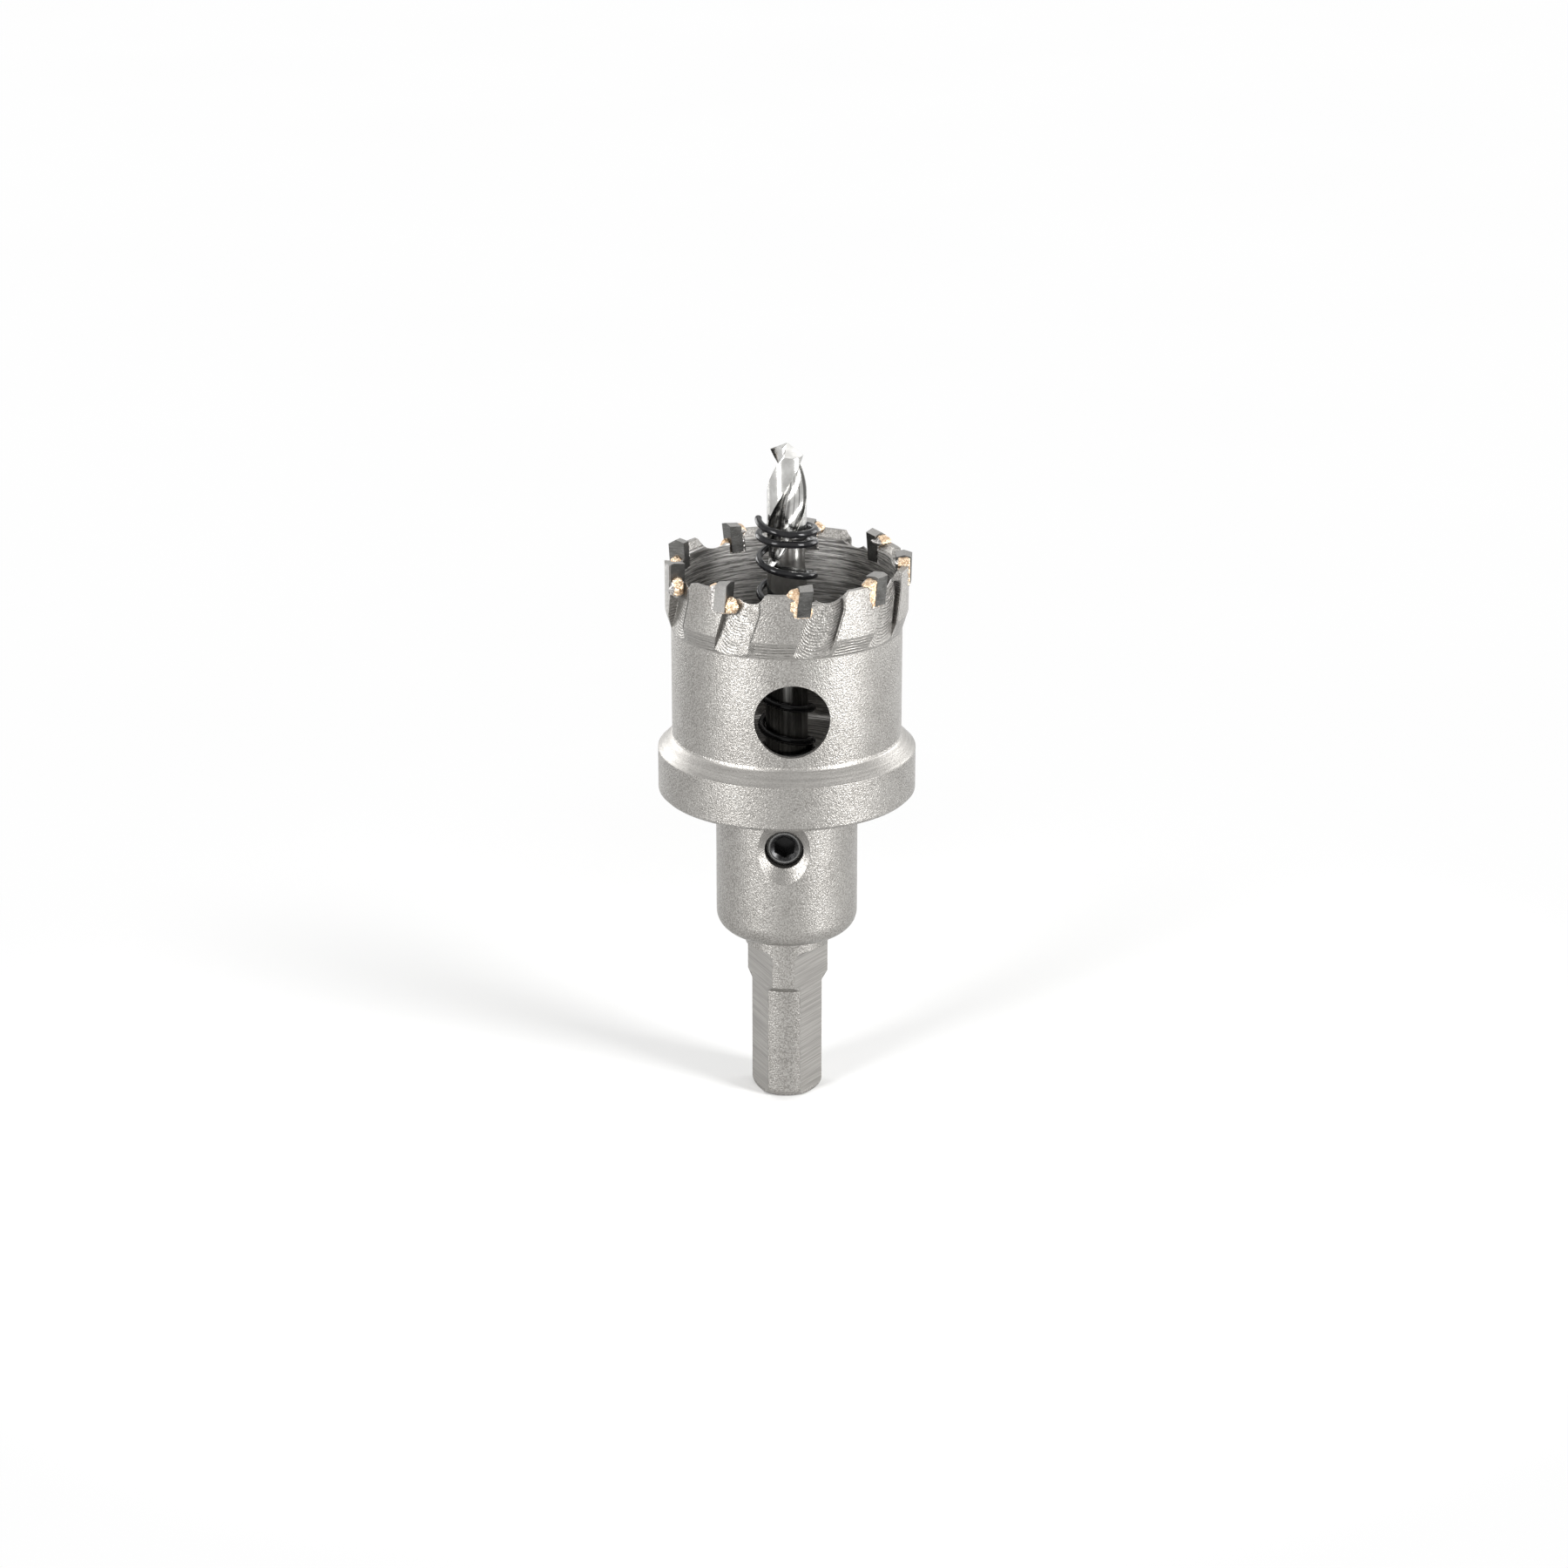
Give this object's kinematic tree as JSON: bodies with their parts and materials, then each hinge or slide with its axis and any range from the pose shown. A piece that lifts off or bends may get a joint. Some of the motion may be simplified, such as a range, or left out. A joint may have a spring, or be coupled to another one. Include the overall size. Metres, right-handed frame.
{
  "type": "hole saw",
  "caption": "Hole saw: carbide teeth brazed on a steel cup with a stop flange, pilot drill, ejector spring, side window, set screw and a shank with flats.",
  "frame": {"origin": "centre of the flat end of the shank", "axes": "+Z along the axis from the shank towards the pilot drill's point, -Y towards the set screw, +X to the right of it"},
  "size_m": [0.0396, 0.0396, 0.105],
  "materials": {
    "body_steel": "fine blasted satin",
    "carbide": "matte, ground faces",
    "braze": "rough, as brazed",
    "drill_steel": "bright ground",
    "spring_steel": "black, glossy",
    "screw_steel": "black oxide"
  },
  "bodies": {
    "root": {"body": "body_steel", "carbide_tip_1": "carbide", "carbide_tip_2": "carbide", "carbide_tip_3": "carbide", "carbide_tip_4": "carbide", "carbide_tip_5": "carbide", "carbide_tip_6": "carbide", "carbide_tip_7": "carbide", "carbide_tip_8": "carbide", "carbide_tip_9": "carbide", "braze_1": "braze", "braze_2": "braze", "braze_3": "braze", "braze_4": "braze", "braze_5": "braze", "braze_6": "braze", "braze_7": "braze", "braze_8": "braze", "braze_9": "braze", "pilot_drill": "drill_steel", "ejector_spring": "spring_steel", "set_screw": "screw_steel"}
  },
  "joints": []
}
